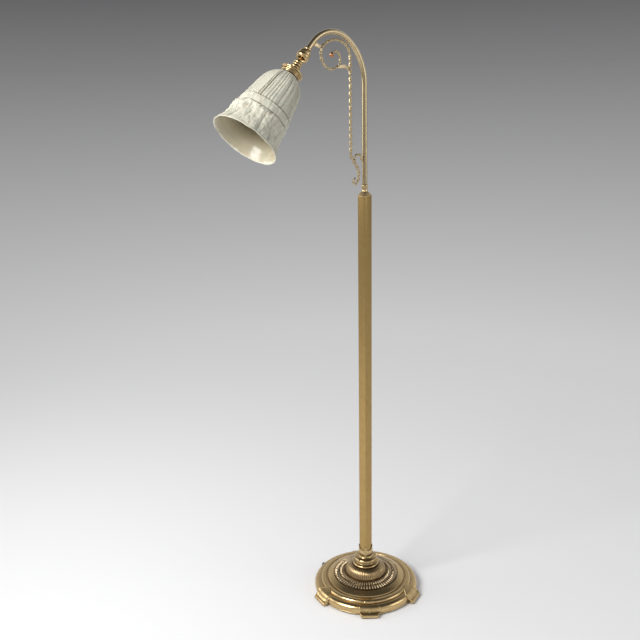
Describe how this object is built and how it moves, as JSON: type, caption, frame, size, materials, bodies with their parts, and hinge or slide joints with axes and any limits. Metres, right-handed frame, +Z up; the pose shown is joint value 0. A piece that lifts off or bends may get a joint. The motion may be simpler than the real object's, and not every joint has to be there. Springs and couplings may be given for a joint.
{
  "type": "bridge floor lamp",
  "caption": "Floor lamp with a square column on a round stepped base with feet, a swivelling crook arm with a twisted scroll, and a bell shade on a ball joint.",
  "frame": {"origin": "on the floor, in the middle of the lamp's footprint with the arm at rest; the column's axis is 138.85 mm along +X and 4.27 mm along +Y from it", "axes": "+Z up along the column, -X along the plan of the arm at rest, towards the shade; the column's faces are square to X and Y"},
  "size_m": [0.5666, 0.3032, 1.5038],
  "materials": {
    "antique_brass": "antique brass, brown patina in the recesses, satin lacquer",
    "bright_brass": "polished brass",
    "copper_berry": "antique brass with a redder patina",
    "steel": "zinc-plated steel",
    "iron": "black sand-cast ballast",
    "felt": "dark felt",
    "black_bush": "moulded bush",
    "fibre": "vulcanised fibre",
    "holder_black": "moulded lampholder",
    "shade": "opaque off-white moulded glass, pleated and draped, satin outside and glossy cream inside"
  },
  "bodies": {
    "stand": {"foot_1": "antique_brass", "foot_2": "antique_brass", "foot_3": "antique_brass", "foot_4": "antique_brass", "foot_screws": "steel", "foot_pads": "felt", "cord_bush": "black_bush", "base_shell": "antique_brass", "reeded_disc": "antique_brass", "fluted_dome": "antique_brass", "column_ring": "antique_brass", "cushion_ring": "antique_brass", "column_socket": "antique_brass", "plate_screws": "steel", "base_weight": "iron", "base_plate": "steel", "tie_washer": "steel", "tie_nut": "steel", "tie_rod": "steel", "column_tube": "antique_brass", "column_foot_plug": "steel", "column_cap": "antique_brass", "swivel_washer": "fibre"},
    "arm": {"neck_collar": "antique_brass", "swivel_spigot": "steel", "spigot_washer": "steel", "spigot_nut": "steel", "arm_tube": "antique_brass", "scroll_bar": "antique_brass", "scroll_berry": "copper_berry", "upper_leaf": "antique_brass", "lower_leaf": "antique_brass", "foot_curl": "antique_brass", "arm_end_ring": "antique_brass", "joint_cup": "antique_brass", "cup_keeper": "steel"},
    "seat": {"ball_seat": "steel"},
    "head": {"ball_stem": "bright_brass", "neck_rings": "antique_brass", "holder_nipple": "steel", "gallery": "antique_brass", "lampholder": "holder_black", "shade_ring": "antique_brass", "bell_shade": "shade"}
  },
  "joints": [
    {"name": "arm_swivel", "type": "hinge", "parent": "stand", "child": "arm", "pos_m": [0.13885, 0.00427, 1.1225], "axis": [0, 0, 1], "range_deg": [-170, 170]},
    {"name": "shade_swivel", "type": "hinge", "parent": "arm", "child": "seat", "pos_m": [-0.05111, 0.00427, 1.44694], "axis": [-0.7071, 0, -0.7071], "range_deg": [-170, 170]},
    {"name": "shade_tilt", "type": "hinge", "parent": "seat", "child": "head", "pos_m": [-0.05111, 0.00427, 1.44694], "axis": [0, 1, 0], "range_deg": [-20, 20]}
  ]
}
